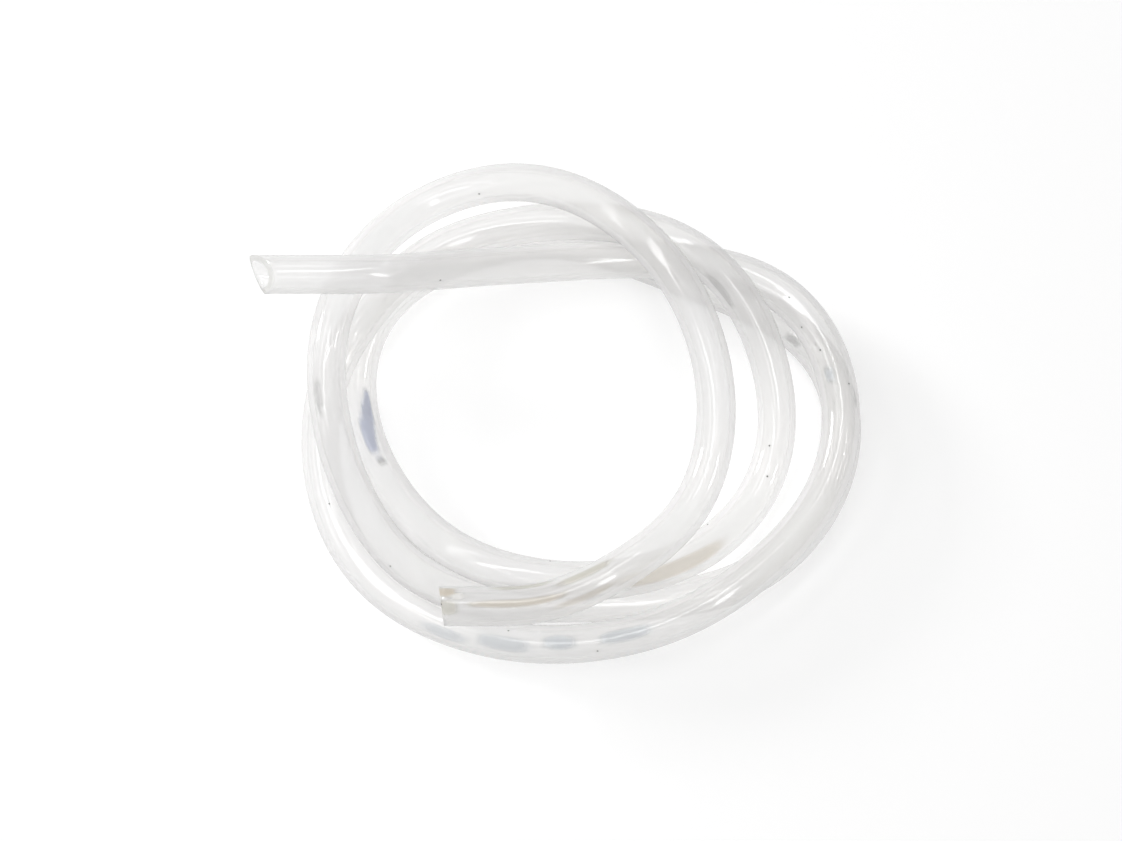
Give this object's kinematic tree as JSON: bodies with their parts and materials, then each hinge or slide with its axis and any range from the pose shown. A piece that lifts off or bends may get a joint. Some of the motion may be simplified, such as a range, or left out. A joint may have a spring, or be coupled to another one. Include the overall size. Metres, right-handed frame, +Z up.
{
  "type": "silicone tubing coil",
  "caption": "Clear silicone tube in a loose flat coil that crosses over itself, with both ends bare and bored through",
  "frame": {"origin": "centre of the coil's bounding box at the height of the surface it lies on", "axes": "+Z up, the coil lies flat in XY; +X runs from the side with the projecting upper end to the opposite side; -Y is the side of the coil nearest the viewer, where the lower end lies"},
  "size_m": [0.1114, 0.0912, 0.027],
  "materials": {
    "tubing": "clear to slightly milky translucent silicone rubber, smooth and glossy, colourless with a faint warm tint where strands overlap, a few fine dust specks"
  },
  "bodies": {
    "root": {"tubing": "tubing"}
  },
  "joints": []
}
